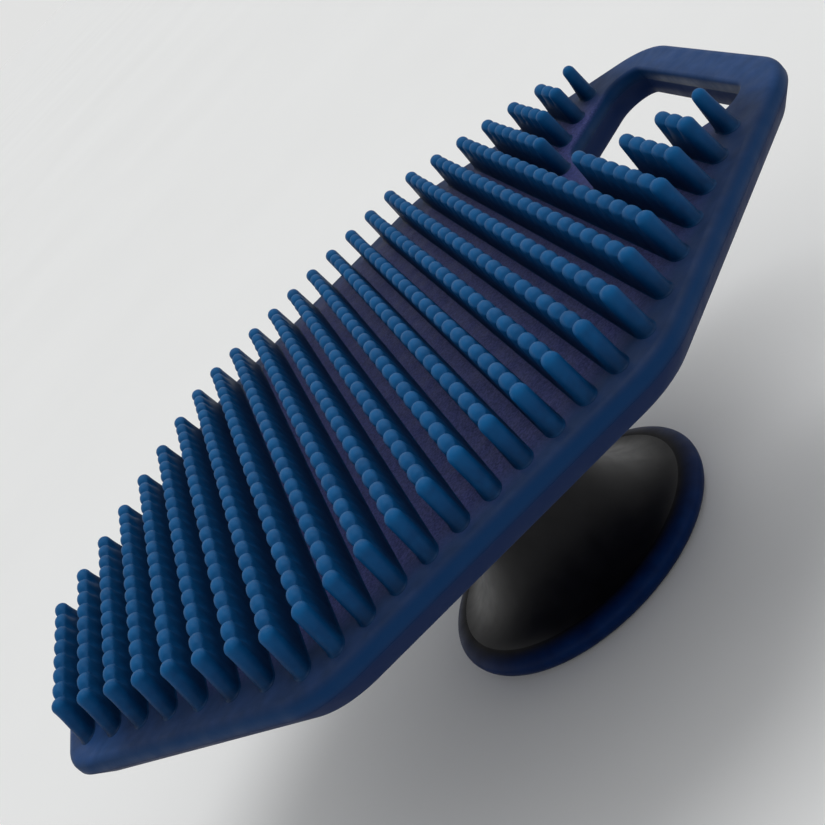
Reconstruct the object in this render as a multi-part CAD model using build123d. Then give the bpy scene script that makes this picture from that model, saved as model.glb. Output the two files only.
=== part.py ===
from build123d import *

import math
import os

# Scalp massager brush: an octagonal silicone plate with bending ribs on its face and a flared
# knob on its back. Millimetres. The origin is the centre of the knob's flat end, +Z runs up
# through the knob to the rib tips, and +X runs towards the hang opening. The brush is
# symmetric about the XZ plane. Looking at the ribs with the opening up, +Y is on the left.

# ---------------------------------------------------------------- driving sizes: the ribs
rib_pitch = 4.2
split_row_pitch = 3.88
rib_rows = 25
row_over_knob = 14  # this row stands straight above the knob's axis
first_split_row = 22  # this row and the later ones stop at the hang opening
rib_root_radius = 1.05
rib_tip_radius = 0.9
rib_height = 5.3
rib_end_slope = 3.2  # how much further out a rib's foot reaches than its crest
crest_rounding = 0.8
root_clearance = 0.06

# half lengths of the feet along Y: both ends of the plate taper, its middle does not
longest_foot = 49.0
bottom_foot = 17.3
bottom_foot_step = 4.3
top_foot = 25.8
top_foot_step = 3.65

# how far from the middle the split rows stop, from the first of them to the last
inner_ends = [5.8, 14.0, 17.4, 20.9]

# ---------------------------------------------------------------- driving sizes: the plate
face_z = 37.5
plate_thickness = 4.6
front_pad_thickness = 1.9
plate_half_width = 51.5
top_end_x = 55.6
top_end_half_width = 20.6
bottom_end_x = -58.4
bottom_end_half_width = 18.4
side_top_x = 20.5
side_bottom_x = -25.7
side_corner_radius = 12.0
top_corner_radius = 12.5
bottom_corner_radius = 10.0
face_edge_radius = 1.2
back_edge_radius = 0.4

# the back shell's edge leans in by these distances, square to each kind of edge
side_lean = 2.0
taper_lean = 2.4
end_lean = 2.0

# the hang opening
opening_bottom_x = 35.5
opening_bottom_half_width = 11.6
opening_top_x = 50.7
opening_top_half_width = 21.8
opening_bottom_radius = 4.0
opening_top_radius = 3.4
opening_edge_radius = 0.5

# the stiffener inside the plate
core_thickness = 1.2
core_inset = 4.5
core_opening_gap = 3.0

# ---------------------------------------------------------------- driving sizes: the grip
cap_radius = 20.5
cap_edge_radius = 1.9
cap_floor = 1.4
flare_rim_radius = 18.0
flare_rim_top = 3.4
neck_radius = 7.6
neck_bottom_z = 22.0
neck_top_z = 27.0
neck_head_radius = 10.0
gasket_thickness = 0.8
gasket_radius = 8.6
hub_radius = 5.0
hub_bottom_z = 21.0
screw_radius = 2.0
screw_tip_z = 31.0
screw_head_radius = 3.8
screw_head_height = 2.6
hex_socket_width = 2.5
hex_socket_depth = 1.6
washer_radius = 4.8
washer_thickness = 0.8
washer_seat_z = 10.0
counterbore_radius = 5.4

# ---------------------------------------------------------------- worked-out levels
parting_z = face_z - front_pad_thickness
back_z = face_z - plate_thickness
core_bottom_z = parting_z - core_thickness
gasket_bottom_z = back_z - gasket_thickness
same_place = 0.001


def mirrored_outline(left_points):
    """A closed face from the corners on its +Y side, listed from the top end down."""
    right_points = [(x, -y) for x, y in reversed(left_points)]
    return make_face(Polyline(*left_points, *right_points, close=True))


def corners_at(outline, *x_values):
    """The outline's corners that lie at the given X values."""
    return [v for v in outline.vertices() if any(abs(v.X - x) < same_place for x in x_values)]


def plate_outline(side_inset=0.0, taper_inset=0.0, end_inset=0.0):
    """The plate's octagon, with each kind of edge moved inwards by its own distance."""
    top_slope = (plate_half_width - top_end_half_width) / (top_end_x - side_top_x)
    bottom_slope = (plate_half_width - bottom_end_half_width) / (side_bottom_x - bottom_end_x)
    top_drop = taper_inset * math.hypot(1, top_slope)
    bottom_drop = taper_inset * math.hypot(1, bottom_slope)
    half_width = plate_half_width - side_inset
    top_x = top_end_x - end_inset
    bottom_x = bottom_end_x + end_inset
    upper_x = side_top_x - (top_drop - side_inset) / top_slope
    lower_x = side_bottom_x + (bottom_drop - side_inset) / bottom_slope
    top_y = plate_half_width - top_drop - top_slope * (top_x - side_top_x)
    bottom_y = plate_half_width - bottom_drop - bottom_slope * (side_bottom_x - bottom_x)
    outline = mirrored_outline(
        [(top_x, top_y), (upper_x, half_width), (lower_x, half_width), (bottom_x, bottom_y)]
    )
    outline = fillet(corners_at(outline, upper_x, lower_x), side_corner_radius - side_inset)
    outline = fillet(corners_at(outline, top_x), top_corner_radius - side_inset)
    return fillet(corners_at(outline, bottom_x), bottom_corner_radius - side_inset)


def opening_outline():
    """The hang opening, which widens towards the end bar."""
    outline = mirrored_outline(
        [
            (opening_top_x, opening_top_half_width),
            (opening_bottom_x, opening_bottom_half_width),
        ]
    )
    outline = fillet(corners_at(outline, opening_bottom_x), opening_bottom_radius)
    return fillet(corners_at(outline, opening_top_x), opening_top_radius)


def raised(face, low_z, high_z):
    """A straight-sided block with this plan, between two levels."""
    return extrude(Pos(0, 0, low_z) * face, amount=high_z - low_z, dir=(0, 0, 1))


def round_bar(radius, low_z, high_z):
    """A cylinder about the knob's axis, between two levels."""
    return Pos(0, 0, low_z) * Cylinder(
        radius, high_z - low_z, align=(Align.CENTER, Align.CENTER, Align.MIN)
    )


def row_x(row):
    """Where a row stands along X: the split rows beside the opening are closer together."""
    split_rows = max(0, row - first_split_row + 1)
    return (row - row_over_knob - split_rows) * rib_pitch + split_rows * split_row_pitch


def foot_end(row):
    """How far from the middle a row's foot reaches."""
    from_bottom = bottom_foot + bottom_foot_step * (row - 1)
    from_top = top_foot + top_foot_step * (rib_rows - row)
    return min(longest_foot, from_bottom, from_top)


# ---------------------------------------------------------------- ribs
def rib_root(row, low_y, high_y, radius):
    """The rounded bar at a rib's root, on the line that the rib bends about."""
    straight = high_y - low_y - 2 * rib_root_radius
    middle = Pos(row_x(row), (low_y + high_y) / 2, face_z)
    bar = middle * Rot(90, 0, 0) * Cylinder(radius, straight)
    for side in (-1, 1):
        bar += middle * Pos(0, side * straight / 2, 0) * Sphere(radius)
    return bar


def rib_wall(row, low_foot, low_crest, high_crest, high_foot):
    """The wall above the face: tapered in section, round along its crest and at its ends."""
    crest_axis = rib_height - rib_tip_radius
    section = make_face(
        Polyline(
            (-rib_tip_radius, crest_axis),
            (-rib_root_radius, 0),
            (rib_root_radius, 0),
            (rib_tip_radius, crest_axis),
        )
        + ThreePointArc(
            (rib_tip_radius, crest_axis), (0, rib_height), (-rib_tip_radius, crest_axis)
        )
    )
    side = make_face(
        Polyline(
            (low_foot, 0), (high_foot, 0), (high_crest, rib_height), (low_crest, rib_height),
            close=True,
        )
    )
    side = fillet([v for v in side.vertices() if v.Y > same_place], crest_rounding)
    length = high_foot - low_foot
    plan = Pos(0, (low_foot + high_foot) / 2) * Rot(0, 0, 90) * SlotOverall(
        length, 2 * rib_root_radius
    )
    lengthwise = Plane((0, high_foot, 0), x_dir=(1, 0, 0), z_dir=(0, -1, 0))
    sideways = Plane((-rib_root_radius, 0, 0), x_dir=(0, 1, 0), z_dir=(1, 0, 0))
    wall = extrude(lengthwise * section, amount=length)
    wall = wall & extrude(sideways * side, amount=2 * rib_root_radius)
    wall = wall & extrude(plan, amount=rib_height)
    return Pos(row_x(row), 0, face_z) * wall


def rib(row, low_foot, low_crest, high_crest, high_foot):
    """One bending rib, with the lower half of its root below the face."""
    root = rib_root(row, low_foot, high_foot, rib_root_radius)
    root = split(root, Plane.XY.offset(face_z), keep=Keep.BOTTOM)
    return root + rib_wall(row, low_foot, low_crest, high_crest, high_foot)


def rib_spans():
    """Every rib's name, row, foot ends and crest ends."""
    spans = {}
    for row in range(1, rib_rows + 1):
        foot = foot_end(row)
        crest = foot - rib_end_slope
        if row < first_split_row:
            spans[f"rib_{row:02d}"] = (row, -foot, -crest, crest, foot)
        else:
            inner = inner_ends[row - first_split_row]
            spans[f"rib_{row:02d}_left"] = (row, inner, inner, crest, foot)
            spans[f"rib_{row:02d}_right"] = (row, -foot, -crest, -inner, -inner)
    return spans


def root_grooves():
    """The grooves in the face that the ribs' roots turn in."""
    radius = rib_root_radius + root_clearance
    return [rib_root(row, low, high, radius) for row, low, _, _, high in rib_spans().values()]


# ---------------------------------------------------------------- plate
def front_pad():
    """The face sheet, grooved for the ribs' roots."""
    pad = raised(plate_outline(), parting_z, face_z)
    pad = fillet(pad.edges().group_by(Axis.Z)[-1], face_edge_radius)
    pad -= raised(opening_outline(), parting_z, face_z)
    rim = [
        edge
        for edge in pad.edges().group_by(Axis.Z)[-1]
        if edge.center().X > opening_bottom_x - same_place
        and abs(edge.center().Y) < opening_top_half_width
        and edge.center().X < opening_top_x + same_place
    ]
    pad = fillet(rim, opening_edge_radius)
    return pad - root_grooves()


def core_outline(inset):
    """The stiffener's plan, which stops short of the hang opening."""
    beyond = Pos(opening_bottom_x - core_opening_gap, 0) * Rectangle(
        top_end_x, 2 * plate_half_width, align=(Align.MIN, Align.CENTER)
    )
    return plate_outline(inset, inset, inset) - beyond


def back_shell():
    """The rear tray, with a recess for the stiffener and a hole for its hub."""
    upper = Pos(0, 0, parting_z) * plate_outline()
    lower = Pos(0, 0, back_z) * plate_outline(side_lean, taper_lean, end_lean)
    shell = loft([lower, upper])
    shell = fillet(shell.edges().group_by(Axis.Z)[0], back_edge_radius)
    shell -= raised(opening_outline(), back_z, parting_z)
    shell -= raised(core_outline(core_inset), core_bottom_z, parting_z)
    return shell - round_bar(hub_radius, back_z, parting_z)


def core_plate():
    """The stiffener and the threaded hub that the knob is screwed to."""
    plate = raised(core_outline(core_inset), core_bottom_z, parting_z)
    plate += round_bar(hub_radius, hub_bottom_z, core_bottom_z)
    return plate - round_bar(screw_radius, hub_bottom_z, screw_tip_z)


# ---------------------------------------------------------------- grip
def neck_gasket():
    """The ring that seals the knob to the back shell."""
    ring = round_bar(gasket_radius, gasket_bottom_z, back_z)
    return ring - round_bar(hub_radius, gasket_bottom_z, back_z)


def grip_flare():
    """The trumpet-shaped knob, bored for the hub, the screw and its washer."""
    waist_bottom = (neck_radius, neck_bottom_z)
    waist_top = (neck_radius, neck_top_z)
    rim_top = (flare_rim_radius, flare_rim_top)
    trumpet = EllipticalCenterArc(
        (flare_rim_radius, neck_bottom_z),
        x_radius=flare_rim_radius - neck_radius,
        y_radius=neck_bottom_z - flare_rim_top,
        start_angle=180,
        arc_size=90,
    )
    head_arc = EllipticalCenterArc(
        (neck_head_radius, neck_top_z),
        x_radius=neck_head_radius - neck_radius,
        y_radius=gasket_bottom_z - neck_top_z,
        start_angle=90,
        arc_size=90,
    )
    profile = make_face(
        Polyline(waist_bottom, waist_top)
        + head_arc
        + Polyline(
            (neck_head_radius, gasket_bottom_z),
            (0, gasket_bottom_z),
            (0, cap_floor),
            (flare_rim_radius, cap_floor),
            rim_top,
        )
        + trumpet
    )
    flare = revolve(Plane.XZ * profile, Axis.Z)
    flare -= round_bar(hub_radius, hub_bottom_z, gasket_bottom_z)
    flare -= round_bar(screw_radius, washer_seat_z, hub_bottom_z)
    return flare - round_bar(counterbore_radius, cap_floor, washer_seat_z)


def screw_washer():
    """The washer under the screw's head."""
    low_z = washer_seat_z - washer_thickness
    return round_bar(washer_radius, low_z, washer_seat_z) - round_bar(
        screw_radius, low_z, washer_seat_z
    )


def grip_screw():
    """The hexagon-socket screw that holds the knob to the hub."""
    head_top = washer_seat_z - washer_thickness
    head_bottom = head_top - screw_head_height
    screw = round_bar(screw_head_radius, head_bottom, head_top)
    screw += round_bar(screw_radius, head_top, screw_tip_z)
    socket = RegularPolygon(hex_socket_width / 2, 6, major_radius=False)
    return screw - raised(socket, head_bottom, head_bottom + hex_socket_depth)


def palm_cap():
    """The soft cap over the knob's end, with a rounded lip around the flare's rim."""
    edge_centre = cap_radius - cap_edge_radius
    profile = make_face(
        Polyline(
            (edge_centre, 2 * cap_edge_radius),
            (flare_rim_radius, 2 * cap_edge_radius),
            (flare_rim_radius, cap_floor),
            (0, cap_floor),
            (0, 0),
            (edge_centre, 0),
        )
        + ThreePointArc(
            (edge_centre, 0), (cap_radius, cap_edge_radius), (edge_centre, 2 * cap_edge_radius)
        )
    )
    return revolve(Plane.XZ * profile, Axis.Z)


# ---------------------------------------------------------------- all the pieces
def all_pieces():
    pieces = {
        "front_pad": front_pad(),
        "core_plate": core_plate(),
        "back_shell": back_shell(),
        "neck_gasket": neck_gasket(),
        "grip_flare": grip_flare(),
        "grip_screw": grip_screw(),
        "screw_washer": screw_washer(),
        "palm_cap": palm_cap(),
    }
    for name, span in rib_spans().items():
        pieces[name] = rib(*span)
    return pieces


os.makedirs("parts", exist_ok=True)
for name, piece in all_pieces().items():
    export_step(piece, f"parts/{name}.step")
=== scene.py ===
import math

import bmesh
import bpy
from mathutils import Matrix, Vector


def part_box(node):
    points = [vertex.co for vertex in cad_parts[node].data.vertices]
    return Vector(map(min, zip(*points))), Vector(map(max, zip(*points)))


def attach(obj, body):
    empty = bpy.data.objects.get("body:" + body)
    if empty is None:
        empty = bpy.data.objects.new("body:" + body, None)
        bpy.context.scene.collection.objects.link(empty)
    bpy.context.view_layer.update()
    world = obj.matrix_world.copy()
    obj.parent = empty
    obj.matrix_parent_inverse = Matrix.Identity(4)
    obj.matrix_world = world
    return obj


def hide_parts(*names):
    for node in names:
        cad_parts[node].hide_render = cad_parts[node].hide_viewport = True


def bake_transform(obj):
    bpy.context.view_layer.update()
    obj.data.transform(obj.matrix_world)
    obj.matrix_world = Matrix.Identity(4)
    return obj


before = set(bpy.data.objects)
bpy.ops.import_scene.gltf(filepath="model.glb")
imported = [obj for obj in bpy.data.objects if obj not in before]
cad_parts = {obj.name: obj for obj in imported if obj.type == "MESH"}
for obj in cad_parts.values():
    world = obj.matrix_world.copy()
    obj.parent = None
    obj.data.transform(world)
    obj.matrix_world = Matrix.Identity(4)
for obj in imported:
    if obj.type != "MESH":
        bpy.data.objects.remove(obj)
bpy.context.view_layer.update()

# The looks of the scalp massager brush. Sizes are in millimetres in the CAD's frame, and meshes
# are scaled to metres as they are made. The ribs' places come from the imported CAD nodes.
MM = 0.001

# ---------------------------------------------------------------- sizes: the beaded ribs
bead_pitch = 3.9
bead_half_length = 1.58  # a bead swells this far to each side of its middle
bead_level = 4.4  # the beads' centres above the face
bead_half_width = 0.9
gap_half_width = 0.44  # the wall's half width between two beads
gap_drop = 1.05  # how much lower the crest is between two beads
flute_bottom = 2.5  # the notches fade out down the wall, to this height
end_bead_half_width = 0.98
end_bead_inset = 3.2  # from a leaning end's foot in to its last bead
foot_stretch = 1.8  # how much longer than a half circle a rib's foot is at its end
lean_ease = 0.3  # the leaning end curves into the last bead over this share of its height
inner_bead_inset = 1.9  # the same at the steeper ends beside the opening
post_length = 6.0  # a rib shorter than this is a single post without beads
post_half_width = 0.86
root_half_width = 1.05
root_fillet = 0.14
root_depth = 0.25  # how far a rib's foot reaches into the face sheet
stations_per_bead = 12
end_steps = 9
crest_steps = 7
# the heights above the face of the vertices up a rib's wall
wall_heights = [-root_depth, 0.0, 0.07, root_fillet, 0.8, 1.5, 2.1, 2.7, 3.2, 3.6, 4.0, bead_level]
merge_distance = 0.0005  # vertices closer than this become one

# ---------------------------------------------------------------- sizes: the plate
parting_z = 35.6
plate_half_width = 51.5
top_end_x = 55.6
top_end_half_width = 20.6
bottom_end_x = -58.4
bottom_end_half_width = 18.4
side_top_x = 20.5
side_bottom_x = -25.7
side_corner_radius = 12.0
top_corner_radius = 12.5
bottom_corner_radius = 10.0
face_edge_radius = 1.2
back_edge_radius = 0.4
parting_radius = 0.05
side_lean = 2.0
taper_lean = 2.4
end_lean = 2.0
opening_bottom_x = 35.5
opening_bottom_half_width = 11.6
opening_top_x = 50.7
opening_top_half_width = 21.8
opening_bottom_radius = 4.0
opening_top_radius = 3.4
opening_edge_radius = 0.5
corner_steps = 14
edge_steps = 8
painted_rim_start = 45.0  # painted shade: the face darkens to its rim between these distances from the knob's axis
painted_rim_full = 50.0
painted_bar_start = 48.0  # and a painted highlight turns it a brighter blue towards both ends between these distances along x
painted_bar_full = 52.5
face_tone_start = 0.7  # the face's tones come in between these depths below the face
face_tone_full = 0.06
edge_tone_start = 0.3  # the edge brightens from this far below the parting line
edge_tone_full = 0.5  # to this far above it

# ---------------------------------------------------------------- sizes: the knob
cap_radius = 20.5
cap_edge_radius = 1.9
cap_floor = 1.4
flare_rim_radius = 18.0
flare_rim_top = 3.4
neck_radius = 7.6
neck_bottom_z = 22.0
neck_top_z = 27.0
neck_head_radius = 10.0
neck_head_z = 32.1
edge_hold = 0.03  # a close second row of vertices keeps a sharp edge sharp
lip_depth = 1.0
lip_black = 18.3  # the lip's painted shade gives way to its navy between these distances from the axis
lip_navy = 20.0
lathe_steps = 160
arc_steps = 24


def top_of(node):
    """The highest point of a CAD node."""
    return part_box(node)[1].z / MM


face_z = top_of("front_pad")
back_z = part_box("back_shell")[0].z / MM
rib_crest = top_of("rib_01") - face_z


# ---------------------------------------------------------------- materials
silicone_ior = 1.43
silicone_gloss = 0.14
cap_gloss = 0.08
plastic_gloss = 0.22
patch_share = 0.12  # the scale of the uneven roughness, as a share of the grain's scale
grain_strength = 0.5
noise_low = 0.3  # almost all of a noise texture's values lie between these two
noise_high = 0.7
mix_first = 6  # a mix node's colour sockets, by number because their names repeat
mix_second = 7
mix_result = 2
from_axis = (1.0, 1.0, 0.0)  # distances from the knob's axis
along_x = (1.0, 0.0, 0.0)


def node_material(name):
    """An empty node material, its nodes and its links."""
    material = bpy.data.materials.new(name)
    material.use_nodes = True
    return material, material.node_tree.nodes, material.node_tree.links


def add_noise(nodes, links, scale, detail):
    """A noise texture in the piece's own space, so that it moves with the piece."""
    place = nodes.new("ShaderNodeTexCoord")
    noise = nodes.new("ShaderNodeTexNoise")
    noise.inputs["Scale"].default_value = scale
    noise.inputs["Detail"].default_value = detail
    links.new(place.outputs["Object"], noise.inputs["Vector"])
    return noise.outputs["Fac"]


def add_ramp(nodes, links, factor, stops):
    """A colour ramp over the given (position, colour) stops."""
    ramp = nodes.new("ShaderNodeValToRGB")
    elements = ramp.color_ramp.elements
    while len(elements) < len(stops):
        elements.new(0.5)
    for element, (position, colour) in zip(elements, stops):
        element.position = position
        element.color = (*colour, 1.0)
    links.new(factor, ramp.inputs["Fac"])
    return ramp.outputs["Color"]


def add_range(nodes, links, value, low, high, to_low=0.0, to_high=1.0):
    """The value moved from one range to another, and held at that range's ends."""
    mapping = nodes.new("ShaderNodeMapRange")
    mapping.inputs["From Min"].default_value = low
    mapping.inputs["From Max"].default_value = high
    mapping.inputs["To Min"].default_value = to_low
    mapping.inputs["To Max"].default_value = to_high
    links.new(value, mapping.inputs["Value"])
    return mapping.outputs["Result"]


def add_height(nodes, links):
    """The height of the shaded point in the piece's own space, in metres."""
    place = nodes.new("ShaderNodeTexCoord")
    split = nodes.new("ShaderNodeSeparateXYZ")
    links.new(place.outputs["Object"], split.inputs["Vector"])
    return split.outputs["Z"]


def add_length(nodes, links, directions):
    """How far the shaded point is from the origin along the chosen directions, in metres."""
    place = nodes.new("ShaderNodeTexCoord")
    flatten = nodes.new("ShaderNodeVectorMath")
    flatten.operation = "MULTIPLY"
    flatten.inputs[1].default_value = directions
    links.new(place.outputs["Object"], flatten.inputs[0])
    length = nodes.new("ShaderNodeVectorMath")
    length.operation = "LENGTH"
    links.new(flatten.outputs["Vector"], length.inputs[0])
    return length.outputs["Value"]


def add_mix(nodes, links, factor, first, second):
    """Two colours mixed by a factor."""
    mix = nodes.new("ShaderNodeMix")
    mix.data_type = "RGBA"
    links.new(factor, mix.inputs["Factor"])
    links.new(first, mix.inputs[mix_first])
    links.new(second, mix.inputs[mix_second])
    return mix.outputs[mix_result]


def add_clouds(nodes, links, noise, dark, light):
    """A colour that drifts between a dark and a light tone with a noise texture."""
    return add_ramp(nodes, links, noise, [(noise_low, dark), (noise_high, light)])


def finish_surface(nodes, links, colour, roughness_range, grain_scale, grain_depth):
    """Colour, uneven roughness and a fine grain on the material's main shader."""
    shader = nodes["Principled BSDF"]
    links.new(colour, shader.inputs["Base Color"])
    patches = add_noise(nodes, links, scale=grain_scale * patch_share, detail=4.0)
    roughness = add_range(nodes, links, patches, noise_low, noise_high, *roughness_range)
    links.new(roughness, shader.inputs["Roughness"])
    grain = add_noise(nodes, links, scale=grain_scale, detail=6.0)
    bump = nodes.new("ShaderNodeBump")
    bump.inputs["Strength"].default_value = grain_strength
    bump.inputs["Distance"].default_value = grain_depth
    links.new(grain, bump.inputs["Height"])
    links.new(bump.outputs["Normal"], shader.inputs["Normal"])
    return shader


def rib_silicone():
    """Saturated navy silicone with painted shade and highlight: darker towards the root and between the
    beads, brighter towards the crest.
    """
    material, nodes, links = node_material("rib_silicone")
    # painted shade and highlight: the colour darkens down the rib and in the notches between the beads,
    # and brightens at the crest
    height = add_height(nodes, links)
    up = add_range(nodes, links, height, face_z * MM, (face_z + rib_crest) * MM)
    body = add_ramp(
        nodes,
        links,
        up,
        [
            (0.0, (0.0003, 0.012, 0.045)),
            (0.5, (0.0006, 0.036, 0.120)),
            (0.8, (0.0012, 0.064, 0.195)),
            (1.0, (0.0028, 0.115, 0.320)),
        ],
    )
    noise = add_noise(nodes, links, scale=900.0, detail=5.0)
    dust = add_clouds(nodes, links, noise, dark=(0.0005, 0.030, 0.105), light=(0.0020, 0.070, 0.210))
    drift = add_noise(nodes, links, scale=300.0, detail=3.0)
    share = add_range(nodes, links, drift, low=0.2, high=0.8, to_low=0.0, to_high=0.55)
    colour = add_mix(nodes, links, share, body, dust)
    shader = finish_surface(nodes, links, colour, (0.46, 0.58), grain_scale=2600.0, grain_depth=0.00002)
    shader.inputs["IOR"].default_value = silicone_ior
    shader.inputs["Specular IOR Level"].default_value = silicone_gloss
    return material


def plate_silicone():
    """The same silicone on the plate, with painted light on its face: a purple painted sheen in the
    middle, a darker painted shade at the rim and a brighter painted highlight towards both ends. Its
    edge is brighter above the parting line."""
    material, nodes, links = node_material("plate_silicone")
    height = add_height(nodes, links)
    tone_low = (face_z - face_tone_start) * MM
    tone_high = (face_z - face_tone_full) * MM
    to_face = add_range(nodes, links, height, tone_low, tone_high)
    edge_low = (parting_z - edge_tone_start) * MM
    edge_high = (parting_z + edge_tone_full) * MM
    up_edge = add_range(nodes, links, height, edge_low, edge_high)
    edge_stops = [(0.0, (0.004, 0.015, 0.062)), (1.0, (0.0006, 0.027, 0.098))]
    edge_colour = add_ramp(nodes, links, up_edge, edge_stops)
    speckle = add_noise(nodes, links, scale=4200.0, detail=3.0)
    # painted sheen: the face's middle is a lighter purple than the navy silicone, with a random speckle
    middle_with_painted_sheen = add_ramp(
        nodes, links, speckle, [(0.38, (0.020, 0.028, 0.105)), (0.62, (0.052, 0.064, 0.215))]
    )
    noise = add_noise(nodes, links, scale=500.0, detail=6.0)
    # painted shade at the rim and a painted highlight towards both ends, laid over the navy silicone
    rim_with_painted_shade = add_clouds(nodes, links, noise, dark=(0.005, 0.020, 0.066), light=(0.009, 0.028, 0.090))
    ends_with_painted_highlight = add_clouds(nodes, links, noise, dark=(0.010, 0.047, 0.150), light=(0.017, 0.062, 0.195))
    distance = add_length(nodes, links, from_axis)
    painted_light_outwards = add_range(nodes, links, distance, painted_rim_start * MM, painted_rim_full * MM)
    along = add_length(nodes, links, along_x)
    end_highlight_share = add_range(nodes, links, along, painted_bar_start * MM, painted_bar_full * MM)
    face_with_painted_light = add_mix(nodes, links, painted_light_outwards, middle_with_painted_sheen, rim_with_painted_shade)
    face_with_painted_light = add_mix(nodes, links, end_highlight_share, face_with_painted_light, ends_with_painted_highlight)
    colour = add_mix(nodes, links, to_face, edge_colour, face_with_painted_light)
    shader = finish_surface(nodes, links, colour, (0.50, 0.66), grain_scale=3200.0, grain_depth=0.00003)
    shader.inputs["IOR"].default_value = silicone_ior
    shader.inputs["Specular IOR Level"].default_value = silicone_gloss
    return material


def cap_silicone():
    """The knob's cap: navy at its rim, with painted shade that makes it near-black where it meets the
    flare.
    """
    material, nodes, links = node_material("cap_silicone")
    noise = add_noise(nodes, links, scale=400.0, detail=5.0)
    navy = add_clouds(nodes, links, noise, dark=(0.0004, 0.009, 0.050), light=(0.0010, 0.016, 0.078))
    # painted shade: near-black towards the flare, navy at the rim
    black = add_clouds(nodes, links, noise, dark=(0.0015, 0.0016, 0.004), light=(0.004, 0.0042, 0.009))
    distance = add_length(nodes, links, from_axis)
    painted_light_outwards = add_range(nodes, links, distance, lip_black * MM, lip_navy * MM)
    colour = add_mix(nodes, links, painted_light_outwards, black, navy)
    shader = finish_surface(nodes, links, colour, (0.42, 0.55), grain_scale=2600.0, grain_depth=0.00002)
    shader.inputs["IOR"].default_value = silicone_ior
    shader.inputs["Specular IOR Level"].default_value = cap_gloss
    return material


def black_plastic():
    """The knob's black plastic with a fine satin grain."""
    material, nodes, links = node_material("black_plastic")
    noise = add_noise(nodes, links, scale=350.0, detail=5.0)
    colour = add_clouds(nodes, links, noise, dark=(0.0015, 0.0015, 0.003), light=(0.004, 0.004, 0.006))
    shader = finish_surface(nodes, links, colour, (0.34, 0.44), grain_scale=3800.0, grain_depth=0.00001)
    shader.inputs["Specular IOR Level"].default_value = plastic_gloss
    return material


def grey_plastic():
    """The hidden stiffener's plain grey plastic."""
    material, nodes, links = node_material("grey_plastic")
    noise = add_noise(nodes, links, scale=300.0, detail=4.0)
    colour = add_clouds(nodes, links, noise, dark=(0.20, 0.22, 0.25), light=(0.28, 0.30, 0.33))
    finish_surface(nodes, links, colour, (0.45, 0.6), grain_scale=2400.0, grain_depth=0.00003)
    return material


def gasket_rubber():
    """The black rubber of the gasket, of which only the edge shows."""
    material, nodes, links = node_material("gasket_rubber")
    noise = add_noise(nodes, links, scale=500.0, detail=4.0)
    colour = add_clouds(nodes, links, noise, dark=(0.008, 0.008, 0.010), light=(0.018, 0.018, 0.020))
    finish_surface(nodes, links, colour, (0.65, 0.85), grain_scale=3000.0, grain_depth=0.00004)
    return material


def turned_steel():
    """The hidden screw and washer: stainless steel with a fine grain."""
    material, nodes, links = node_material("turned_steel")
    noise = add_noise(nodes, links, scale=700.0, detail=4.0)
    colour = add_clouds(nodes, links, noise, dark=(0.52, 0.53, 0.55), light=(0.66, 0.67, 0.69))
    shader = finish_surface(nodes, links, colour, (0.22, 0.38), grain_scale=5000.0, grain_depth=0.00001)
    shader.inputs["Metallic"].default_value = 1.0
    return material


# ---------------------------------------------------------------- mesh helpers
def new_piece(name, mesh_data, material, slot, body, *nodes):
    """A smooth-shaded piece from a bmesh in millimetres, which stands for the given CAD nodes."""
    bmesh.ops.recalc_face_normals(mesh_data, faces=mesh_data.faces)
    bmesh.ops.scale(mesh_data, vec=(MM, MM, MM), verts=mesh_data.verts)
    mesh = bpy.data.meshes.new(name)
    mesh_data.to_mesh(mesh)
    mesh_data.free()
    piece = bpy.data.objects.new(name, mesh)
    bpy.context.scene.collection.objects.link(piece)
    mesh.materials.append(material)
    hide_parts(*nodes)
    if body:
        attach(piece, body)
    return piece


def skin(mesh_data, rows):
    """Quads between neighbouring rows of vertices, where each row is a closed loop."""
    for first, second in zip(rows, rows[1:]):
        count = len(first)
        for i in range(count):
            j = (i + 1) % count
            face = mesh_data.faces.new((first[i], first[j], second[j], second[i]))
            face.smooth = True


def smooth_step(low, high, value):
    """0 below the low value, 1 above the high one and an even S between them."""
    t = min(1.0, max(0.0, (value - low) / (high - low)))
    return t * t * (3 - 2 * t)


def arc(steps, start, end):
    """Evenly spaced angles in radians, both ends included."""
    return [math.radians(start + (end - start) * i / steps) for i in range(steps + 1)]


# ---------------------------------------------------------------- ribs
class Station:
    """One cross-section of a rib: where it is, how far its bead swells (0 between two beads, 1 at a
    bead's middle), how wide it is, how far its foot leans out, and how far it is turned about the
    last bead's centre, which it is at a rounded end only."""

    def __init__(self, y, swell=1.0, half_width=bead_half_width, lean=0.0, turn=0.0):
        self.y = y
        self.swell = swell
        self.half_width = half_width
        self.lean = lean
        self.turn = turn


def bead_centres(first, last):
    """Where the beads stand along a crest, evenly spaced."""
    gaps = max(0, round((last - first) / bead_pitch))
    if gaps == 0:
        return [(first + last) / 2]
    return [first + (last - first) * i / gaps for i in range(gaps + 1)]


def end_stations(bead_y, foot_end, half_width, direction):
    """The stations of a rounded, leaning end, from the last bead's side to its tip."""
    lean = foot_end - direction * root_half_width * foot_stretch - bead_y
    return [
        Station(bead_y, half_width=half_width, lean=lean, turn=direction * angle)
        for angle in arc(end_steps, 0, 90)
    ]


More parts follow.
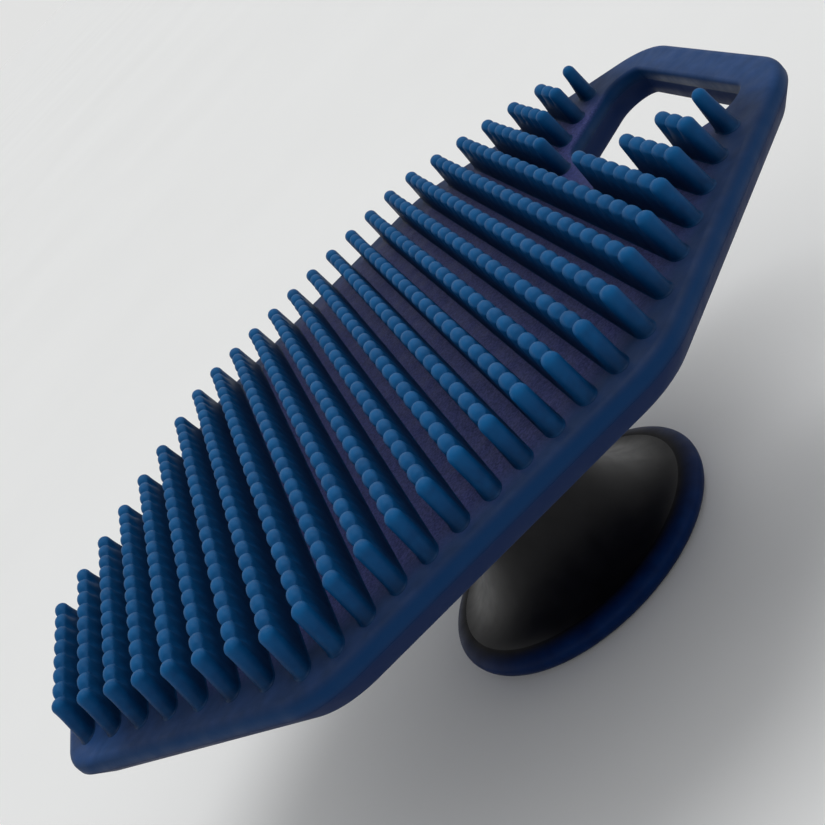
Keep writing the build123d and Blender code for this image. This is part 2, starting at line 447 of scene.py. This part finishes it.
def rib_stations(low_foot, high_foot, low_slopes, high_slopes):
    """All the stations of one rib, from its low end to its high end. A low or high end that slopes
    has its last bead further in."""
    if high_foot - low_foot < post_length:
        return post_stations(low_foot, high_foot, low_slopes)
    low_bead = low_foot + (end_bead_inset if low_slopes else inner_bead_inset)
    high_bead = high_foot - (end_bead_inset if high_slopes else inner_bead_inset)
    centres = bead_centres(low_bead, high_bead)
    low_width = end_bead_half_width if low_slopes else bead_half_width
    high_width = end_bead_half_width if high_slopes else bead_half_width

    stations = end_stations(centres[0], low_foot, low_width, -1)
    stations.reverse()
    stations.append(Station(centres[0], half_width=low_width))
    last_gap = len(centres) - 2
    for gap, (here, there) in enumerate(zip(centres, centres[1:])):
        for i in range(1, stations_per_bead + 1):
            t = i / stations_per_bead
            from_bead = min(t, 1 - t) * (there - here)
            swell = math.sqrt(max(0.0, 1 - (from_bead / bead_half_length) ** 2))
            half_width = bead_half_width
            # an end bead's extra width eases off over the nearer half of its gap
            if gap == 0 and t < 0.5:
                half_width += (low_width - bead_half_width) * (1 - 2 * t)
            if gap == last_gap and t > 0.5:
                half_width += (high_width - bead_half_width) * (2 * t - 1)
            stations.append(Station(here + (there - here) * t, swell, half_width))
    return stations + end_stations(centres[-1], high_foot, high_width, 1)


def post_stations(low_foot, high_foot, low_slopes):
    """A single round post, which leans at its outer side only."""
    outer_foot, direction = (low_foot, -1) if low_slopes else (high_foot, 1)
    bead_y = outer_foot - direction * end_bead_inset
    inner_foot = high_foot if low_slopes else low_foot
    outer = end_stations(bead_y, outer_foot, post_half_width, direction)
    inner = end_stations(bead_y, inner_foot, post_half_width, -direction)
    if low_slopes:
        outer.reverse()
        return outer + inner
    inner.reverse()
    return inner + outer


def lean_share(up):
    """How much of its full reach the leaning end has at a share of the beads' height."""
    down = 1 - up
    if down < lean_ease:
        reach = down**2 / (2 * lean_ease)
    else:
        reach = down - lean_ease / 2
    return reach / (1 - lean_ease / 2)


def fillet_reach(z):
    """How far the foot spreads over the face at a height above it."""
    if z >= root_fillet:
        return 0.0
    up = root_fillet - max(0.0, z)
    return root_fillet - math.sqrt(root_fillet**2 - up**2)


def half_section(station):
    """One side of a rib's cross-section, from the root to the crest, as (x, y, z)."""
    notch = (1 - station.swell) * (station.half_width - gap_half_width)
    across = math.cos(station.turn)
    along = math.sin(station.turn)
    points = []
    for z in wall_heights:
        up = max(0.0, z) / bead_level
        reach = root_half_width + (station.half_width - root_half_width) * up
        reach += fillet_reach(z) - notch * smooth_step(flute_bottom, bead_level, z)
        stretch = 1 + (foot_stretch - 1) * (1 - up)
        y = station.y + station.lean * lean_share(up) + reach * stretch * along
        points.append((reach * across, y, z))
    dome = rib_crest - bead_level - (1 - station.swell) * gap_drop
    for angle in arc(crest_steps, 0, 90)[1:]:
        reach = (station.half_width - notch) * math.cos(angle)
        z = bead_level + dome * math.sin(angle)
        points.append((reach * across, station.y + reach * along, z))
    return points


def beaded_rib(node, material):
    """A rib with its row of beads, growing out of the face."""
    low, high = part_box(node)
    row_x = (low.x + high.x) / 2 / MM
    low_slopes = not node.endswith("_left")
    high_slopes = not node.endswith("_right")
    mesh_data = bmesh.new()
    rows = []
    for station in rib_stations(low.y / MM, high.y / MM, low_slopes, high_slopes):
        side = half_section(station)
        outline = [(-x, y, z) for x, y, z in side] + [(x, y, z) for x, y, z in reversed(side[:-1])]
        rows.append([mesh_data.verts.new((row_x + x, y, face_z + z)) for x, y, z in outline])
    skin(mesh_data, rows)
    bmesh.ops.remove_doubles(mesh_data, verts=mesh_data.verts, dist=merge_distance)
    piece = new_piece("beaded_" + node, mesh_data, material, "silicone_ribs", None, node)
    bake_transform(piece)
    return piece


# ---------------------------------------------------------------- plate
def offset_corners(corners, insets):
    """A polygon's corners after each edge moves inwards by its own distance."""
    lines = []
    for i, start in enumerate(corners):
        end = corners[(i + 1) % len(corners)]
        along = (Vector(end) - Vector(start)).normalized()
        inwards = Vector((-along.y, along.x))
        lines.append((Vector(start) + inwards * insets[i], along))
    moved = []
    for i, (point, along) in enumerate(lines):
        before, before_along = lines[i - 1]
        cross = before_along.x * along.y - before_along.y * along.x
        gap = point - before
        reach = (gap.x * along.y - gap.y * along.x) / cross
        moved.append(before + before_along * reach)
    return moved


def rounded_loop(corners, radii, insets):
    """The points round a polygon with its edges moved in and its corners rounded."""
    moved = offset_corners(corners, insets)
    points = []
    for i, corner in enumerate(moved):
        before = (moved[i - 1] - corner).normalized()
        after = (moved[(i + 1) % len(moved)] - corner).normalized()
        half_angle = before.angle(after) / 2
        radius = radii[i] - min(insets[i - 1], insets[i])
        centre = corner + (before + after).normalized() * radius / math.sin(half_angle)
        start = corner + before * radius / math.tan(half_angle) - centre
        end = corner + after * radius / math.tan(half_angle) - centre
        sweep = start.angle_signed(end)
        for step in range(corner_steps + 1):
            turn = Matrix.Rotation(-sweep * step / corner_steps, 2)
            points.append(centre + turn @ start)
    return points


plate_corners = [
    (top_end_x, top_end_half_width),
    (side_top_x, plate_half_width),
    (side_bottom_x, plate_half_width),
    (bottom_end_x, bottom_end_half_width),
    (bottom_end_x, -bottom_end_half_width),
    (side_bottom_x, -plate_half_width),
    (side_top_x, -plate_half_width),
    (top_end_x, -top_end_half_width),
]
plate_radii = [
    top_corner_radius,
    side_corner_radius,
    side_corner_radius,
    bottom_corner_radius,
    bottom_corner_radius,
    side_corner_radius,
    side_corner_radius,
    top_corner_radius,
]
opening_corners = [
    (opening_top_x, opening_top_half_width),
    (opening_bottom_x, opening_bottom_half_width),
    (opening_bottom_x, -opening_bottom_half_width),
    (opening_top_x, -opening_top_half_width),
]
opening_radii = [
    opening_top_radius,
    opening_bottom_radius,
    opening_bottom_radius,
    opening_top_radius,
]


def plate_loop(side, taper, end):
    """The plate's outline with each kind of edge moved in by its own distance."""
    insets = [taper, side, taper, end, taper, side, taper, end]
    return rounded_loop(plate_corners, plate_radii, insets)


def parting_loop():
    """The plate's outline at the parting line, where both halves are slightly chamfered."""
    return plate_loop(parting_radius, parting_radius, parting_radius)


def tray_loop(share, inset=0.0):
    """The tray's outline at a share of its full lean, with all edges moved in by the inset."""
    side = side_lean * share + inset
    taper = taper_lean * share + inset
    end = end_lean * share + inset
    return plate_loop(side, taper, end)


def opening_loop(inset):
    """The hang opening's outline; a negative inset makes it larger."""
    return rounded_loop(opening_corners, opening_radii, [inset] * 4)


def ring(mesh_data, loop, z):
    """A row of vertices round an outline, at one height."""
    return [mesh_data.verts.new((p.x, p.y, z)) for p in loop]


def opening_wall(mesh_data, flat_z, edge_radius):
    """The hang opening's wall, from the parting line to its rounded edge at a flat face."""
    inwards = -1 if flat_z > parting_z else 1
    rows = [ring(mesh_data, opening_loop(0), parting_z)]
    for angle in arc(edge_steps, 0, 90):
        inset = edge_radius * (1 - math.cos(angle))
        z = flat_z + inwards * edge_radius * (1 - math.sin(angle))
        rows.append(ring(mesh_data, opening_loop(-inset), z))
    return rows


def cover(mesh_data, outer, inner):
    """A flat face between the outline and the hang opening."""
    edges = []
    for loop in (outer, inner):
        for i, vertex in enumerate(loop):
            after = loop[(i + 1) % len(loop)]
            edge = mesh_data.edges.get((vertex, after)) or mesh_data.edges.new((vertex, after))
            edges.append(edge)
    bmesh.ops.triangle_fill(mesh_data, use_beauty=True, edges=edges)


def face_sheet(material):
    """The rounded sheet that the ribs grow from."""
    mesh_data = bmesh.new()
    outer = [ring(mesh_data, parting_loop(), parting_z)]
    outer.append(ring(mesh_data, plate_loop(0, 0, 0), parting_z + parting_radius))
    for angle in arc(edge_steps, 0, 90):
        inset = face_edge_radius * (1 - math.cos(angle))
        z = face_z - face_edge_radius * (1 - math.sin(angle))
        outer.append(ring(mesh_data, plate_loop(inset, inset, inset), z))
    inner = opening_wall(mesh_data, face_z, opening_edge_radius)
    skin(mesh_data, outer)
    skin(mesh_data, inner)
    cover(mesh_data, outer[-1], inner[-1])
    cover(mesh_data, outer[0], inner[0])
    return new_piece("face_sheet", mesh_data, material, "silicone_plate", "brush", "front_pad")


def back_tray(material):
    """The tray behind the sheet, leaning in towards its flat back."""
    mesh_data = bmesh.new()
    height = parting_z - back_z
    outer = [ring(mesh_data, parting_loop(), parting_z)]
    for z in (parting_z - parting_radius, back_z + back_edge_radius):
        share = (parting_z - z) / height
        outer.append(ring(mesh_data, tray_loop(share), z))
    start = (parting_z - back_z - back_edge_radius) / height
    for angle in arc(edge_steps, 0, 90)[1:]:
        inset = back_edge_radius * (1 - math.cos(angle))
        z = back_z + back_edge_radius * (1 - math.sin(angle))
        share = start + (1 - start) * math.sin(angle)
        outer.append(ring(mesh_data, tray_loop(share, inset), z))
    inner = opening_wall(mesh_data, back_z, back_edge_radius)
    skin(mesh_data, outer)
    skin(mesh_data, inner)
    cover(mesh_data, outer[-1], inner[-1])
    cover(mesh_data, outer[0], inner[0])
    return new_piece("back_tray", mesh_data, material, "silicone_plate", "brush", "back_shell")


# ---------------------------------------------------------------- knob
def lathe(profile):
    """A closed skin from a profile of (radius, z) points turned about the knob's axis."""
    mesh_data = bmesh.new()
    rows = []
    for radius, z in profile:
        row = []
        for step in range(lathe_steps):
            angle = 2 * math.pi * step / lathe_steps
            place = (radius * math.cos(angle), radius * math.sin(angle), z)
            row.append(mesh_data.verts.new(place))
        rows.append(row)
    skin(mesh_data, rows)
    bmesh.ops.remove_doubles(mesh_data, verts=mesh_data.verts, dist=merge_distance)
    return mesh_data


def quarter(centre_radius, centre_z, radius_r, radius_z, start, end):
    """Profile points round part of an ellipse."""
    return [
        (centre_radius + radius_r * math.cos(a), centre_z + radius_z * math.sin(a))
        for a in arc(arc_steps, start, end)
    ]


def knob_flare(material):
    """The trumpet between the plate and the cap."""
    head = quarter(
        neck_head_radius,
        neck_top_z,
        neck_head_radius - neck_radius,
        neck_head_z - neck_top_z,
        90,
        180,
    )
    trumpet = quarter(
        flare_rim_radius,
        neck_bottom_z,
        flare_rim_radius - neck_radius,
        neck_bottom_z - flare_rim_top,
        180,
        270,
    )
    trumpet.insert(-1, (flare_rim_radius - edge_hold, flare_rim_top))
    profile = [(0, neck_head_z), *head, *trumpet, (flare_rim_radius, cap_floor), (0, cap_floor)]
    return new_piece("knob_flare", lathe(profile), material, "grip_black", "brush", "grip_flare")


def knob_cap(material):
    """The cap with its rounded lip round the flare's rim."""
    upper_lip = quarter(
        flare_rim_radius,
        cap_edge_radius,
        cap_radius - flare_rim_radius,
        flare_rim_top - cap_edge_radius,
        90,
        0,
    )
    upper_lip.insert(1, (flare_rim_radius + edge_hold, flare_rim_top))
    lower_lip = quarter(
        cap_radius - cap_edge_radius, cap_edge_radius, cap_edge_radius, cap_edge_radius, 0, -90
    )
    seat_z = flare_rim_top - lip_depth
    profile = [(0, seat_z), (flare_rim_radius, seat_z), *upper_lip, *lower_lip[1:], (0, 0)]
    return new_piece("knob_cap", lathe(profile), material, "silicone_plate", "brush", "palm_cap")


# ---------------------------------------------------------------- floor, lights and camera
floor_radius = 30.0  # metres
floor_drop = 0.00005  # metres, so that the floor and the knob's end don't share a plane
floor_segments = 96
surround_colour = (0.995, 1.0, 0.995, 1.0)
horizon_light = 0.76  # the surround's strength near the horizon
zenith_light = 0.56  # and overhead
horizon_height = 0.05  # the surround dims between these heights on its unit sphere
zenith_height = 0.5
sun_strength = 0.85
sun_spread = 45.0  # degrees across
sun_direction = (0.3, 0.3, 1.0)  # from the brush to the sun
sensor_width = 36.0
focal_length = 64.7
camera_place = (0.0065, -0.1751, 0.0953)  # metres
camera_right = (0.7043, -0.2120, -0.6776)
camera_up = (0.7084, 0.2727, 0.6510)
nearest_view = 0.01  # metres
farthest_view = 50.0


def pale_floor():
    """A wide pale floor with a barely uneven tone."""
    material, nodes, links = node_material("pale_floor")
    noise = add_noise(nodes, links, scale=6.0, detail=4.0)
    colour = add_clouds(nodes, links, noise, dark=(0.915, 0.92, 0.92), light=(0.945, 0.95, 0.95))
    finish_surface(nodes, links, colour, (0.55, 0.65), grain_scale=400.0, grain_depth=0.00002)
    mesh_data = bmesh.new()
    bmesh.ops.create_circle(mesh_data, cap_ends=True, segments=floor_segments, radius=floor_radius)
    mesh = bpy.data.meshes.new("floor")
    mesh_data.to_mesh(mesh)
    mesh_data.free()
    floor = bpy.data.objects.new("floor", mesh)
    floor.location.z = -floor_drop
    mesh.materials.append(material)
    bpy.context.scene.collection.objects.link(floor)


def studio_light():
    """A pale surround, dimmer overhead than at the horizon, and one wide soft sun."""
    world = bpy.data.worlds.new("studio")
    world.use_nodes = True
    nodes = world.node_tree.nodes
    links = world.node_tree.links
    background = nodes["Background"]
    background.inputs["Color"].default_value = surround_colour
    place = nodes.new("ShaderNodeTexCoord")
    split = nodes.new("ShaderNodeSeparateXYZ")
    links.new(place.outputs["Generated"], split.inputs["Vector"])
    height = split.outputs["Z"]
    strength = add_range(
        nodes, links, height, horizon_height, zenith_height, horizon_light, zenith_light
    )
    links.new(strength, background.inputs["Strength"])
    bpy.context.scene.world = world
    light = bpy.data.lights.new("overhead", "SUN")
    light.energy = sun_strength
    light.angle = math.radians(sun_spread)
    lamp = bpy.data.objects.new("overhead", light)
    towards = Vector(sun_direction)
    lamp.rotation_euler = towards.to_track_quat("Z", "Y").to_euler()
    bpy.context.scene.collection.objects.link(lamp)


def photo_camera():
    """The photograph's view. The camera is rolled, because the brush in the photograph leans on
    the edge of its plate and this one stands on its knob."""
    camera_data = bpy.data.cameras.new("photo_camera")
    camera_data.sensor_width = sensor_width
    camera_data.lens = focal_length
    camera_data.clip_start = nearest_view
    camera_data.clip_end = farthest_view
    camera = bpy.data.objects.new("photo_camera", camera_data)
    right = Vector(camera_right)
    up = Vector(camera_up)
    backwards = right.cross(up).normalized()
    up = backwards.cross(right).normalized()
    turn = Matrix((right.normalized(), up, backwards)).transposed().to_4x4()
    camera.matrix_world = Matrix.Translation(camera_place) @ turn
    bpy.context.scene.collection.objects.link(camera)
    bpy.context.scene.camera = camera


# ---------------------------------------------------------------- put together
def dress(nodes, material):
    """Gives a material to the CAD nodes that keep their own shape."""
    for name in nodes:
        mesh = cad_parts[name].data
        mesh.materials.clear()
        mesh.materials.append(material)


rib_material = rib_silicone()
plate_material = plate_silicone()
for node_name in sorted(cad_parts):
    if node_name.startswith("rib_"):
        beaded_rib(node_name, rib_material)
face_sheet(plate_material)
back_tray(plate_material)
knob_flare(black_plastic())
knob_cap(cap_silicone())
dress(["core_plate"], grey_plastic())
dress(["neck_gasket"], gasket_rubber())
dress(["grip_screw", "screw_washer"], turned_steel())
pale_floor()
studio_light()
photo_camera()
bpy.context.scene.view_settings.view_transform = "Standard"
